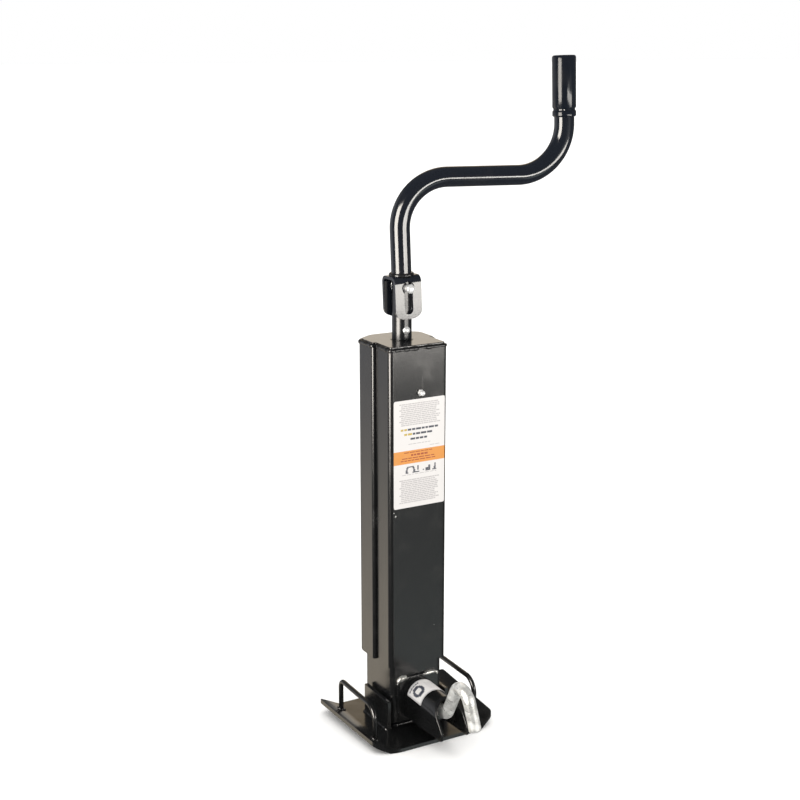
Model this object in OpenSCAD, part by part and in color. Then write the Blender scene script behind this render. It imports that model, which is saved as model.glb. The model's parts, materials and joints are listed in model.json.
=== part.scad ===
// Tongue jack stand: square housing, screw driven ram, drop leg with lock pin,
// foot plate with rod loops, and a crank that lifts and folds.
// Millimetres. X to the right, Y to the back, Z up.
// The origin is on the screw axis, on the ground.

/* [Housing] */
// Width of the front shell
housing_w = 83.5; // [82:0.5:84]
// Height of the housing's lower edge above the ground
housing_z = 91; // [85:1:100]
// Height of the top plate's upper face above the ground
housing_top = 518; // [510:1:525]
// Screw axis to the front face
front_d = 44; // [43.5:0.5:45]
// Screw axis to the back face
back_d = 46; // [44:1:50]
// Wall of the front shell
front_t = 3.5; // [3:0.25:3.5]
// Wall of the rear shell
rear_t = 4.5; // [3.5:0.5:5]

/* [Ram and drop leg] */
// Width of the ram tube
ram_w = 75.4; // [73:0.2:75.4]
// Depth of the ram tube
ram_d = 73; // [72:0.5:75]
// Height of the ram's lower end above the ground
ram_bottom = 10; // [10:1:14]
// Wall of the ram tube
ram_t = 4; // [3:0.25:4]
// Wall of the drop leg
leg_t = 4.5; // [4:0.25:5]
// Number of lock holes in the drop leg
lock_holes = 7; // [3:1:7]
// Distance between lock holes
lock_pitch = 50; // [45:1:50]

/* [Screw] */
// Diameter over the thread
screw_dia = 22; // [20:1:24]
// Diameter of the plain shank above the thread
shank_dia = 18; // [16:1:19]
// Diameter of the input shaft
shaft_dia = 25; // [24:0.5:25]

/* [Crank] */
// Outside diameter of the crank tube
crank_dia = 25.4; // [24:0.2:25.4]
// Centreline radius of both bends
crank_bend_r = 61; // [50:1:65]
// Height of the crank arm's centreline above the ground
crank_arm_z = 715.5; // [700:0.5:740]
// Distance from the screw axis to the grip axis
crank_throw = 222.5; // [200:0.5:240]
// Turn of the arm from +X towards the front, in degrees
crank_turn = 11.5; // [0:0.5:30]
// Dip of the arm towards the grip, in degrees
arm_dip = 2.5; // [0:0.5:5]
// Lean of the crank on its loose pin, in degrees
crank_lean = 2.3; // [0:0.1:2.5]
// Outside diameter of the grip
grip_dia = 30; // [30:0.5:33]
// Length of the grip
grip_len = 75; // [70:1:90]

/* [Lock pin] */
// Diameter of the lock pin and its handle
pin_dia = 16; // [14:1:16]
// Height of the pin's axis above the ground
pin_z = 49.5; // [48:0.5:52]
// Lean of the handle to the left, in degrees
handle_lean = 6; // [0:1:8]

/* [Foot] */
// Width of the flat middle of the foot plate
foot_flat_w = 136; // [130:1:140]
// Width over both raised flanges at the back
foot_w = 194; // [184:1:198]
// Width over both raised flanges at the front
foot_front_w = 178; // [170:1:184]
// Offset of the front edge to the right
foot_shift = 2; // [0:0.5:3]
// Foot plate from the screw axis to its front edge
foot_front = 96; // [92:1:98]
// Foot plate from the screw axis to its back edge
foot_back = 57; // [55:1:66]
// Thickness of the foot plate
foot_t = 5; // [4:0.5:5]
// Slope of the flanges, in degrees
flange_slope = 27; // [24:1:33]
// Diameter of the loop rod
loop_dia = 6.4; // [6:0.2:8]
// Height of the left loop's upper side above the ground
left_loop_top = 55; // [52:0.1:65]
// Height of the right loop's upper side above the ground
right_loop_top = 60; // [52:0.1:65]

/* [Hidden] */
$fn = 48;
fit_gap = 0.05;
run_gap = 0.3;
// housing
plate_t = 4.5;
shell_top = housing_top - plate_t;
plate_inset = 2.5;
shell_r = 6;
rear_front_y = -6;
lap = 18;
rear_w = housing_w + 2 * rear_t;
// the cut back corners: where one starts on the side and on the back, its normal and its level
cut_start = [rear_w / 2, back_d - 15];
cut_end = [24, back_d];
cut_run = cut_start - cut_end;
cut = [-cut_run[1], cut_run[0]] / norm(cut_run);
cut_level = cut * cut_start;
fitting_x = 2;
fitting_z = 457.5;
label_w = 74;
label_z = [308.5, 449.5];
label_x = 0.8;
label_t = 0.4;
// bearing
ball_dia = 7.9;
ball_ring_r = 21;
ball_count = 12;
race_t = 6;
race_gap = 8;
race_r = 26;
upper_race_z = shell_top - race_t;
lower_race_z = upper_race_z - race_gap - race_t;
collar_h = 10;
collar_z = lower_race_z - collar_h;
bush_r = 12;
washer_r = 14.3;
// screw and shaft
screw_bottom = 100;
shank_top = 560;
shaft_bottom = housing_top + 1;
rivet_z = 531;
rivet_r = 2.5;
fold_z = 585;
fold_pin_r = 4.75;
shaft_top = fold_z + 9.5;
shaft_bevel = 2.5;
// crank bracket
bracket_w = 37.5;
bracket_t = 4;
bracket_in = 13;
bracket_out = bracket_in + bracket_t;
bracket_top = fold_z + 15;
bracket_side_z = fold_z - 33;
bracket_tip_z = fold_z - 39;
bracket_tip_w = 20;
bend_r = 9;
slot_w = 12;
slot_low_z = fold_z - 27;
keyhole_r = 8.5;
crank_wall = 2.6;
grip_z = crank_arm_z + crank_bend_r + 6;
grip_bore_r = crank_dia / 2 + run_gap;
groove_z = grip_z + 9;
tube_top_z = grip_z + grip_len - 7;
// ram
ram_front = -front_d + front_t + 0.5;
ram_back = ram_front + ram_d;
ram_top = 455;
nut_plate_t = 8;
nut_h = 35;
nut_r = 20;
leg_gap = 0.6;
leg_w = ram_w - 2 * ram_t - 2 * leg_gap;
leg_front = ram_front + ram_t + leg_gap;
leg_back = ram_back - ram_t - leg_gap;
leg_top = 395;
lock_hole_r = pin_dia / 2 + 0.5;
// pin guard
guard_r = 20.75;
guard_t = 3.5;
boss_w = 58;
boss_top = 71;
boss_low = 20;
boss_t = 4;
guard_back = ram_front - boss_t;
guide_y = -93;
guide_t = 6;
collar_y = -56;
pin_collar_t = 4;
// the handle's centreline as y and height above the pin axis
pin_nose_y = ram_front + ram_t;
elbow = [-117.7, 0];
crook = [-170, 81];
handle_end = [-187.7, 8.6];
handle_bend_r = 17;
// straights run this far into their bends, and bends are this much thicker
rod_overlap = 0.5;
bend_swell = 0.03;
// foot
foot_corner = [28, 10];
gusset_t = 5.5;
gusset_in = ram_w / 2 + 3;
gusset_y = [-45, 20];
gusset_top = 45;
loop_x = 75;
loop_y = [-64, 33];
loop_front_r = 20;
loop_back_r = 9;

// ---- shared shapes ----

function unit(v) = v / norm(v);

// Outline with each corner replaced by a curve that starts r before it. The first two corners are
// the front ones and may have a radius of their own.
function soften(pts, r, front_r = 0, steps = 6) = [for (i = [0:len(pts) - 1])
    let (n = len(pts), b = pts[i], s = i < 2 && front_r > 0 ? front_r : r,
        p = b + unit(pts[(i + n - 1) % n] - b) * s, q = b + unit(pts[(i + 1) % n] - b) * s)
    for (k = [0:steps]) let (t = k / steps) p * pow(1 - t, 2) + 2 * b * t * (1 - t) + q * t * t];

// Rectangle from y1 to y2, drawn in by d
function box_outline(w, y1, y2, d) =
    [[-w / 2 + d, y1 + d], [w / 2 - d, y1 + d], [w / 2 - d, y2 - d], [-w / 2 + d, y2 - d]];

// Rounded rectangle made of two bars and four circles
module round_box_2d(x1, x2, y1, y2, r) {
    translate([x1 + r, y1]) square([x2 - x1 - 2 * r, y2 - y1]);
    translate([x1, y1 + r]) square([x2 - x1, y2 - y1 - 2 * r]);
    for (x = [x1 + r, x2 - r], y = [y1 + r, y2 - r]) translate([x, y]) circle(r);
}

module along_y(y, z) {
    translate([0, y, z]) rotate([-90, 0, 0]) children();
}

// A bar through the screw axis from front to back with domed ends
module domed_bar(r, half_len, dome) {
    rotate([90, 0, 0]) rotate_extrude() intersection() {
        union() {
            translate([0, -half_len + dome]) square([r, 2 * (half_len - dome)]);
            for (s = [-1, 1]) translate([0, s * (half_len - dome)]) scale([1, dome / r]) circle(r);
        }
        translate([0, -half_len]) square([r, 2 * half_len]);
    }
}

// Everything on the crank leans with it about the fold pin
module leaned() {
    translate([0, 0, fold_z]) rotate([0, -crank_lean, 0]) translate([0, 0, -fold_z]) children();
}

module on_grip_axis() {
    leaned() rotate([0, 0, -crank_turn]) translate([crank_throw, 0, 0]) children();
}

// ---- housing ----

module front_shell() {
    color("#2b2c2d") difference() {
        translate([0, 0, housing_z]) linear_extrude(shell_top - housing_z) difference() {
            round_box_2d(-housing_w / 2, housing_w / 2, -front_d, front_d, shell_r);
            round_box_2d(-housing_w / 2 + front_t, housing_w / 2 - front_t,
                -front_d + front_t, front_d - front_t, shell_r - front_t);
            translate([-housing_w, rear_front_y + lap]) square([2 * housing_w, 2 * front_d]);
        }
        along_y(-front_d - 1, fitting_z) translate([fitting_x, 0, 0]) cylinder(r = 3, h = 6);
    }
}

// The rear shell's outline with its back corners cut off, drawn in by d
module rear_outline(d, r) {
    x = rear_w / 2 - d;
    back = back_d - d;
    cut_y = (cut_level - d - cut[0] * x) / cut[1];
    cut_x = (cut_level - d - cut[1] * back) / cut[0];
    polygon(soften([[-x, -front_d + d], [x, -front_d + d], [x, cut_y], [cut_x, back], [-cut_x, back], [-x, cut_y]], r));
}

module rear_shell() {
    color("#2b2c2d") translate([0, 0, housing_z]) linear_extrude(shell_top - housing_z) difference() {
        rear_outline(0, 7);
        rear_outline(rear_t, 4);
        translate([-rear_w, -2 * front_d]) square([2 * rear_w, 2 * front_d + rear_front_y]);
    }
}

module top_outline(d) {
    intersection() {
        rear_outline(d, 7);
        translate([-rear_w, rear_front_y + d]) square([2 * rear_w, 2 * front_d]);
    }
    round_box_2d(-housing_w / 2 + d, housing_w / 2 - d, -front_d + d, rear_front_y + lap, shell_r - d);
}

module top_plate() {
    color("#343536") translate([0, 0, shell_top]) linear_extrude(plate_t) difference() {
        top_outline(plate_inset);
        circle(bush_r);
    }
}

module top_weld() {
    color("#303132") translate([0, 0, shell_top]) linear_extrude(plate_t - 1.5) difference() {
        top_outline(0.4);
        top_outline(plate_inset);
    }
}

module grease_fitting() {
    color("#d8d9da") translate([fitting_x, -front_d, fitting_z]) rotate([90, 0, 0]) {
        translate([0, 0, -front_t]) cylinder(r = 3, h = front_t);
        cylinder(r = 4, h = 2.6, $fn = 6);
        cylinder(r = 2.4, h = 5);
        translate([0, 0, 5.2]) sphere(3);
    }
}

module main_label() {
    color("#f2f2f0") translate([label_x, -front_d, 0]) rotate([90, 0, 0]) linear_extrude(label_t)
        round_box_2d(-label_w / 2, label_w / 2, label_z[0], label_z[1], 5);
}

// ---- bearing and screw ----

module shaft_washer() {
    color("#343536") translate([0, 0, housing_top]) difference() {
        cylinder(r = washer_r, h = 0.7);
        translate([0, 0, -1]) cylinder(r = shank_dia / 2 + run_gap, h = 3);
    }
}

module shaft_bushing() {
    color("#b08d57") translate([0, 0, upper_race_z]) difference() {
        cylinder(r = bush_r, h = housing_top - upper_race_z);
        translate([0, 0, -1]) cylinder(r = shank_dia / 2 + fit_gap, h = 40);
    }
}

module race(z, bore_r) {
    translate([0, 0, z]) difference() {
        cylinder(r = race_r, h = race_t);
        translate([0, 0, -1]) cylinder(r = bore_r, h = race_t + 2);
    }
}

module bearing_upper_race() {
    color("#b9bcc0") race(upper_race_z, bush_r);
}

module bearing_lower_race() {
    color("#b9bcc0") race(lower_race_z, shank_dia / 2);
}

module bearing_balls() {
    color("#d5d8dc") for (i = [0:ball_count - 1])
        rotate([0, 0, i * 360 / ball_count])
            translate([ball_ring_r, 0, upper_race_z - race_gap / 2]) sphere(d = ball_dia);
}

module thrust_collar() {
    color("#8f9296") translate([0, 0, collar_z]) difference() {
        cylinder(r = 22, h = collar_h);
        translate([0, 0, -1]) cylinder(r = shank_dia / 2, h = collar_h + 2);
        translate([0, 0, collar_h / 2]) rotate([0, 90, 0]) cylinder(r = 2.5, h = 60, center = true);
    }
}

module collar_pin() {
    color("#6f7276") translate([0, 0, collar_z + collar_h / 2]) rotate([0, 90, 0])
        cylinder(r = 2.5, h = 43, center = true);
}

module lead_screw() {
    color("#9a9da1") difference() {
        union() {
            translate([0, 0, screw_bottom]) cylinder(d = screw_dia, h = collar_z - screw_bottom);
            translate([0, 0, collar_z]) cylinder(d = shank_dia, h = shank_top - collar_z);
        }
        translate([0, 0, collar_z + collar_h / 2]) rotate([0, 90, 0]) cylinder(r = 2.5, h = 60, center = true);
        translate([0, 0, rivet_z]) rotate([90, 0, 0]) cylinder(r = rivet_r, h = 60, center = true);
    }
}

module screw_end_stop() {
    color("#8f9296") translate([0, 0, screw_bottom - 5]) cylinder(r = 15, h = 5);
}

module input_shaft() {
    color("#242628") difference() {
        union() {
            translate([0, 0, shaft_bottom]) cylinder(d = shaft_dia, h = shaft_top - shaft_bevel - shaft_bottom);
            translate([0, 0, shaft_top - shaft_bevel])
                cylinder(d1 = shaft_dia, d2 = shaft_dia - 2 * shaft_bevel, h = shaft_bevel);
        }
        translate([0, 0, shaft_bottom - 1]) cylinder(d = shank_dia, h = shank_top - shaft_bottom + 1);
        translate([0, 0, rivet_z]) rotate([90, 0, 0]) cylinder(r = rivet_r, h = 60, center = true);
        translate([0, 0, fold_z]) rotate([90, 0, 0]) cylinder(r = fold_pin_r + fit_gap, h = 60, center = true);
    }
}

module shaft_rivet() {
    head_r = 4.2;
    head_h = 2.2;
    color("#e2e3e4") translate([0, 0, rivet_z]) {
        rotate([90, 0, 0]) cylinder(r = rivet_r, h = shaft_dia, center = true);
        for (s = [0, 180]) rotate([0, 0, s]) translate([0, -shaft_dia / 2 + 0.7, 0]) rotate([90, 0, 0])
            difference() {
                scale([1, 1, (head_h + 0.6) / head_r]) sphere(head_r);
                translate([0, 0, -head_r]) cube(2 * head_r, center = true);
                translate([0, 0, -shaft_dia / 2 + 0.7]) rotate([90, 0, 0])
                    cylinder(d = shaft_dia, h = 20, center = true);
            }
    }
}

// ---- crank ----

module fold_pin() {
    color("#dcdddd") translate([0, 0, fold_z]) domed_bar(fold_pin_r, bracket_out + 9, 2);
}

module bracket_side() {
    w = bracket_w / 2;
    tip = bracket_tip_w / 2;
    above = bracket_top + 10;
    difference() {
        polygon(soften([[-w, above], [-w, bracket_side_z], [-tip, bracket_tip_z],
            [tip, bracket_tip_z], [w, bracket_side_z], [w, above]], 5));
        translate([0, slot_low_z]) circle(d = slot_w);
        translate([-slot_w / 2, slot_low_z]) square([slot_w, fold_z - slot_low_z]);
        translate([0, fold_z]) circle(keyhole_r);
    }
}

module bracket_bend_2d() {
    difference() {
        round_box_2d(-bracket_out, bracket_out, bracket_tip_z - 20, bracket_top, bend_r);
        round_box_2d(-bracket_in, bracket_in, bracket_tip_z - 30, bracket_top - bracket_t, bend_r - bracket_t);
    }
}

module crank_bracket() {
    color("#2a2b2e") leaned() intersection() {
        rotate([90, 0, 90]) linear_extrude(bracket_w, center = true) bracket_bend_2d();
        rotate([90, 0, 0]) linear_extrude(3 * bracket_out, center = true) bracket_side();
    }
}

module crank_weld() {
    weld = 3.5;
    color("#26272a") leaned() translate([0, 0, bracket_top]) rotate_extrude()
        polygon([[crank_dia / 2, 0], [crank_dia / 2 + weld, 0], [crank_dia / 2 + 1.3, 1.6], [crank_dia / 2, 4]]);
}

module tube_bend(angle) {
    rotate_extrude(angle = angle) translate([crank_bend_r, 0]) children();
}

// Upright, bend, arm, bend and upright. The two bend centres lie the same reach below and above
// the middle of the arm. The straights run a little way into the bends.
module crank_path(r, low, high) {
    between = crank_throw - 2 * crank_bend_r;
    reach = (crank_bend_r - between / 2 * sin(arm_dip)) / cos(arm_dip);
    arm = (between - 2 * crank_bend_r * sin(arm_dip)) / cos(arm_dip);
    turn = 90 + arm_dip;
    bend_start = crank_arm_z - reach;
    bend_end = crank_arm_z + reach;
    translate([0, 0, low]) cylinder(r = r, h = bend_start - low + rod_overlap);
    translate([crank_bend_r, 0, bend_start]) {
        rotate([90, 0, 0]) rotate([0, 0, 90 - arm_dip]) tube_bend(turn) circle(r + bend_swell);
        rotate([0, arm_dip, 0]) translate([-rod_overlap, 0, crank_bend_r]) rotate([0, 90, 0])
            cylinder(r = r, h = arm + 2 * rod_overlap);
    }
    translate([crank_throw - crank_bend_r, 0, bend_end])
        rotate([90, 0, 0]) rotate([0, 0, -90 - arm_dip]) tube_bend(turn) circle(r + bend_swell);
    translate([crank_throw, 0, bend_end - rod_overlap]) cylinder(r = r, h = high - bend_end + rod_overlap);
}

module crank_tube() {
    color("#25272b") leaned() rotate([0, 0, -crank_turn]) difference() {
        crank_path(crank_dia / 2, bracket_top, tube_top_z);
        crank_path(crank_dia / 2 - crank_wall, bracket_top - 1, tube_top_z + 1);
        translate([crank_throw, 0, groove_z - 4]) difference() {
            cylinder(r = crank_dia, h = 8);
            translate([0, 0, -1]) cylinder(r = crank_dia / 2 - 1.3, h = 10);
        }
    }
}

module crank_grip() {
    r = grip_dia / 2;
    rib = crank_dia / 2 - 0.8;
    color("#1f2226") on_grip_axis() translate([0, 0, grip_z]) rotate_extrude() polygon([
        [grip_bore_r, 0], [r, 0], [r, 6.5], [r - 1.3, 8], [r - 1.3, 10], [r, 11.5],
        [r, grip_len], [grip_bore_r, grip_len], [grip_bore_r, 11.5], [rib, 10], [rib, 8], [grip_bore_r, 6.5]]);
}

module grip_cap() {
    color("#1b1d20") on_grip_axis() translate([0, 0, grip_z + grip_len - 4.5]) cylinder(r = grip_bore_r, h = 3.5);
}

// ---- ram ----

module ram_outline(d, r, front_r) {
    polygon(soften(box_outline(ram_w, ram_front, ram_back, d), r, front_r));
}

module ram_tube() {
    color("#2b2c2d") difference() {
        translate([0, 0, ram_bottom]) linear_extrude(ram_top - ram_bottom) difference() {
            ram_outline(0, 7, 6.5);
            ram_outline(ram_t, 4, 4);
        }
        along_y(ram_front - 1, pin_z) cylinder(r = lock_hole_r, h = ram_t + 2);
    }
}

module ram_top_plate() {
    color("#55585c") translate([0, 0, ram_top - nut_plate_t]) linear_extrude(nut_plate_t) difference() {
        ram_outline(ram_t, 4, 4);
        circle(d = screw_dia + 4);
    }
}

module lead_nut() {
    color("#b08d57") translate([0, 0, ram_top - nut_plate_t - nut_h]) difference() {
        cylinder(r = nut_r, h = nut_h);
        translate([0, 0, -1]) cylinder(r = screw_dia / 2 + fit_gap, h = nut_h + 2);
    }
}

module pin_boss_plate() {
    color("#2b2c2d") difference() {
        translate([-boss_w / 2 + 1.5, guard_back, boss_low]) cube([boss_w, boss_t, boss_top - boss_low]);
        along_y(guard_back - 1, pin_z) cylinder(r = lock_hole_r, h = boss_t + 2);
    }
}

module boss_weld() {
    color("#303132") difference() {
        translate([2.5, ram_front, boss_top]) rotate([0, 90, 0]) cylinder(r = 3, h = boss_w - 2, center = true);
        translate([-50, ram_front, 0]) cube([100, 20, 200]);
        translate([-50, -60, boss_top - 10]) cube([100, 40, 10]);
    }
}

module guard_2d(r, low) {
    translate([0, pin_z]) circle(r);
    translate([-r, low]) square([2 * r, pin_z - low]);
}

guard_side = [[guard_back, 20], [guard_back, 72], [-106.5, 72], [-121, 58.5], [-132, 46.5], [-140, 36], [-138, 25]];

module pin_guard() {
    color("#24262b") intersection() {
        rotate([90, 0, 0]) linear_extrude(150) difference() {
            guard_2d(guard_r, 10);
            guard_2d(guard_r - guard_t, 0);
        }
        rotate([90, 0, 90]) linear_extrude(100, center = true) polygon(guard_side);
    }
}

module pin_guard_label() {
    color("#f4f4f2") translate([0, -52, pin_z]) rotate([90, 0, 0]) linear_extrude(35) intersection() {
        difference() {
            circle(guard_r + label_t);
            circle(guard_r);
        }
        polygon([[0, 0], [-60, 10], [-60, 60], [60, 60], [60, 22]]);
    }
}

module pin_guide() {
    color("#303235") along_y(guide_y, 0) mirror([0, 1, 0]) linear_extrude(guide_t) difference() {
        guard_2d(guard_r - guard_t, 30);
        translate([0, pin_z]) circle(pin_dia / 2 + fit_gap);
    }
}

// Compression spring round the pin, as rings swept along a helix
spring_turns = 6;
spring_r = 11.4;
wire_r = 1.3;
spring_steps = 16;
spring_y = [guide_y + guide_t + wire_r + 0.1, collar_y - wire_r - 0.1];

function spring_ring(i) = let (a = i * 360 / spring_steps, part = i / (spring_turns * spring_steps),
        y = spring_y[0] + (spring_y[1] - spring_y[0]) * part)
    [for (k = [0:7]) let (b = k * 45, r = spring_r + wire_r * cos(b))
        [r * cos(a), y + wire_r * sin(b), pin_z + r * sin(a)]];

module pin_spring() {
    rings = spring_turns * spring_steps;
    color("#b9bcc0") polyhedron(
        points = [for (i = [0:rings]) each spring_ring(i)],
        faces = [[for (k = [0:7]) k], [for (k = [7:-1:0]) rings * 8 + k],
            for (i = [0:rings - 1], k = [0:7])
                [i * 8 + k, (i + 1) * 8 + k, (i + 1) * 8 + (k + 1) % 8, i * 8 + (k + 1) % 8]]);
}

// ---- lock pin ----

// A straight rod between two points of the handle's plane, set a little way into its bends
module rod(a, b, r) {
    v = b - a;
    u = v / norm(v) * rod_overlap;
    translate([0, a[0] - u[0], a[1] - u[1]]) rotate([atan2(v[1], v[0]), 0, 0]) rotate([-90, 0, 0])
        cylinder(r = r, h = norm(v) + 2 * rod_overlap);
}

// How far before a corner its bend starts
function bend_start(a, b, c, r) = r * tan((180 - acos(unit(a - b) * unit(c - b))) / 2);

// The bend at corner b, turning from direction a-b to direction b-c
module rod_bend(a, b, c, r, rod_r) {
    t = bend_start(a, b, c, r);
    p = b + unit(a - b) * t;
    dir = unit(b - a);
    side = [dir[1], -dir[0]];
    turn = 180 - acos(unit(a - b) * unit(c - b));
    sgn = sign(unit(c - b) * side);
    centre = p + side * sgn * r;
    start = atan2((p - centre)[1], (p - centre)[0]);
    translate([0, centre[0], centre[1]]) rotate([90, 0, 90])
        rotate([0, 0, sgn > 0 ? start - turn : start])
            rotate_extrude(angle = turn) translate([r, 0]) circle(rod_r);
}

module lock_pin() {
    bend_rod_r = pin_dia / 2;
    r = bend_rod_r - bend_swell;
    nose = [pin_nose_y, 0];
    elbow_t = bend_start(nose, elbow, crook, handle_bend_r);
    crook_t = bend_start(elbow, crook, handle_end, handle_bend_r);
    rise = unit(crook - elbow);
    drop = unit(handle_end - crook);
    straight = nose[0] - elbow[0] - elbow_t + rod_overlap;
    color("#c9cac8") translate([0, 0, pin_z]) rotate([0, -handle_lean, 0]) {
        translate([0, nose[0] - straight, 0]) rotate([-90, 0, 0]) rotate_extrude()
            polygon([[0, 0], [r, 0], [r, straight - 1.5], [r - 1.5, straight], [0, straight]]);
        rod_bend(nose, elbow, crook, handle_bend_r, bend_rod_r);
        rod(elbow + rise * elbow_t, crook - rise * crook_t, r);
        rod_bend(elbow, crook, handle_end, handle_bend_r, bend_rod_r);
        rod(crook + drop * crook_t, handle_end, r);
    }
}

module pin_collar() {
    color("#9da0a3") along_y(collar_y, pin_z) difference() {
        cylinder(r = 14, h = pin_collar_t);
        translate([0, 0, -1]) cylinder(r = pin_dia / 2, h = pin_collar_t + 2);
    }
}

// ---- drop leg and foot ----

module leg_outline(d, r, front_r) {
    polygon(soften(box_outline(leg_w, leg_front, leg_back, d), r, front_r));
}

module drop_leg() {
    color("#2b2c2d") difference() {
        translate([0, 0, foot_t]) linear_extrude(leg_top - foot_t) difference() {
            leg_outline(0, 4, 6);
            leg_outline(leg_t, 2, 2);
        }
        for (i = [0:lock_holes - 1])
            along_y(leg_front - 1, pin_z + i * lock_pitch) cylinder(r = lock_hole_r, h = leg_back - leg_front + 2);
    }
}

module leg_weld() {
    bead = 3.5;
    color("#303132") translate([0, 0, foot_t]) linear_extrude(bead) difference() {
        leg_outline(-bead, 5, 8);
        leg_outline(0, 4, 6);
    }
}

// Plan of the foot plate: wider at the back, with its front corners cut off and all corners rounded
function foot_outline() = let (
        left = foot_shift - foot_front_w / 2, right = foot_shift + foot_front_w / 2,
        corner_y = -foot_front + foot_corner[1]) soften([
    [left + foot_corner[0], -foot_front], [right - foot_corner[0], -foot_front], [right, corner_y],
    [foot_w / 2, foot_back], [-foot_w / 2, foot_back], [left, corner_y]], 8);

module foot_plate() {
    half = foot_flat_w / 2;
    end = foot_w / 2 + foot_t;
    rise = (end - half) * tan(flange_slope);
    color("#2f3031") intersection() {
        rotate([90, 0, 0]) linear_extrude(400, center = true) polygon([
            [-half, 0], [half, 0], [end, rise], [end - foot_t * sin(flange_slope), rise + foot_t * cos(flange_slope)],
            [half - foot_t * tan(flange_slope / 2), foot_t], [-half + foot_t * tan(flange_slope / 2), foot_t],
            [-end + foot_t * sin(flange_slope), rise + foot_t * cos(flange_slope)], [-end, rise]]);
        translate([0, 0, -1]) linear_extrude(100) polygon(foot_outline());
    }
}

module gusset(side) {
    color("#232528") translate([side > 0 ? gusset_in : -gusset_in - gusset_t, gusset_y[0], foot_t])
        cube([gusset_t, gusset_y[1] - gusset_y[0], gusset_top - foot_t]);
}

module left_gusset() {
    gusset(-1);
}

module right_gusset() {
    gusset(1);
}

// Rod bent to an inverted U, standing on the flange where it starts to rise
module foot_loop(side, upper) {
    r = loop_dia / 2;
    top = upper - r;
    base = foot_t / cos(flange_slope) + (loop_x - foot_flat_w / 2) * tan(flange_slope);
    low = base + r * tan(flange_slope);
    difference() {
        translate([side * loop_x, 0, 0]) {
            for (e = [[loop_y[0], loop_front_r], [loop_y[1], loop_back_r]])
                translate([0, e[0], low - 3]) cylinder(r = r, h = top - e[1] - low + 3);
            translate([0, loop_y[0] + loop_front_r, top]) rotate([-90, 0, 0])
                cylinder(r = r, h = loop_y[1] - loop_back_r - loop_y[0] - loop_front_r);
            translate([0, loop_y[0] + loop_front_r, top - loop_front_r]) rotate([90, 0, 90])
                rotate([0, 0, 90]) rotate_extrude(angle = 90) translate([loop_front_r, 0]) circle(r);
            translate([0, loop_y[1] - loop_back_r, top - loop_back_r]) rotate([90, 0, 90])
                rotate_extrude(angle = 90) translate([loop_back_r, 0]) circle(r);
        }
        translate([side * foot_flat_w / 2, 0, 0]) rotate([0, -side * flange_slope, 0])
            translate([-100, -100, foot_t - 50]) cube([200, 200, 50]);
    }
}

module left_foot_loop() {
    color("#2a2b2c") foot_loop(-1, left_loop_top);
}

module right_foot_loop() {
    color("#2a2b2c") foot_loop(1, right_loop_top);
}

front_shell();
rear_shell();
top_plate();
top_weld();
grease_fitting();
main_label();
shaft_washer();
shaft_bushing();
bearing_upper_race();
bearing_balls();
bearing_lower_race();
thrust_collar();
collar_pin();
lead_screw();
screw_end_stop();
input_shaft();
shaft_rivet();
fold_pin();
crank_bracket();
crank_weld();
crank_tube();
crank_grip();
grip_cap();
ram_tube();
ram_top_plate();
lead_nut();
pin_boss_plate();
boss_weld();
pin_guard();
pin_guard_label();
pin_guide();
pin_spring();
lock_pin();
pin_collar();
drop_leg();
foot_plate();
left_gusset();
right_gusset();
leg_weld();
left_foot_loop();
right_foot_loop();
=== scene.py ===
"""Looks of the tongue jack stand: rounded sheet edges, weld beads, printed labels, spring and paint."""

import json
import math
import random

import bmesh
import bpy
from mathutils import Matrix, Vector


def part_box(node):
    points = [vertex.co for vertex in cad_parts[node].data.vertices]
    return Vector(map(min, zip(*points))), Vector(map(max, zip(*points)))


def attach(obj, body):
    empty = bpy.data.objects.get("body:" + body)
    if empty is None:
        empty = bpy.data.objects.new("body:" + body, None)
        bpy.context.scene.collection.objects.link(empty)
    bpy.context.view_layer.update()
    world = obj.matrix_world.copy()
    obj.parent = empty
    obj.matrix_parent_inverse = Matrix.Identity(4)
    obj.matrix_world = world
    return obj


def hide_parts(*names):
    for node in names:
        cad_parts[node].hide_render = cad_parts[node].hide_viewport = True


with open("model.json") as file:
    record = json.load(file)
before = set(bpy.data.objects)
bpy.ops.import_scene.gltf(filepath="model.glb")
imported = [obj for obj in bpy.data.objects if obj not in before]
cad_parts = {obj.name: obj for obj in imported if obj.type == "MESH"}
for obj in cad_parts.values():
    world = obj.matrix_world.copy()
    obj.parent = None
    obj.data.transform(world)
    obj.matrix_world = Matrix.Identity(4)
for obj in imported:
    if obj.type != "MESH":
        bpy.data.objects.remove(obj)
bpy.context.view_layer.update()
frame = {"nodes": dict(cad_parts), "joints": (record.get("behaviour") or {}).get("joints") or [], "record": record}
MM = 0.001

# ---- places taken from the frame, in metres ----

shell_low, shell_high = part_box("front_shell")
rear_low, rear_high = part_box("rear_shell")
ram_low, ram_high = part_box("ram_tube")
boss_low, boss_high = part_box("pin_boss_plate")
guard_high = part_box("pin_guard")[1]
guide_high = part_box("pin_guide")[1]
collar_low, collar_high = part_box("pin_collar")
gusset_low, gusset_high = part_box("left_gusset")
label_low, label_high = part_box("main_label")
sticker_low, sticker_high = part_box("pin_guard_label")
fitting_low, fitting_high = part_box("grease_fitting")
shaft_low, shaft_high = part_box("input_shaft")
pivot_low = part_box("fold_pin")[0]
rivet_low, rivet_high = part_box("shaft_rivet")
joints = {j["name"]: j for j in frame["joints"]}
fold_point = Vector(joints["crank_fold"]["pos_m"])
pin_z = (collar_low.z + collar_high.z) / 2

# ---- shapes that the frame's boxes don't hold ----

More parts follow.
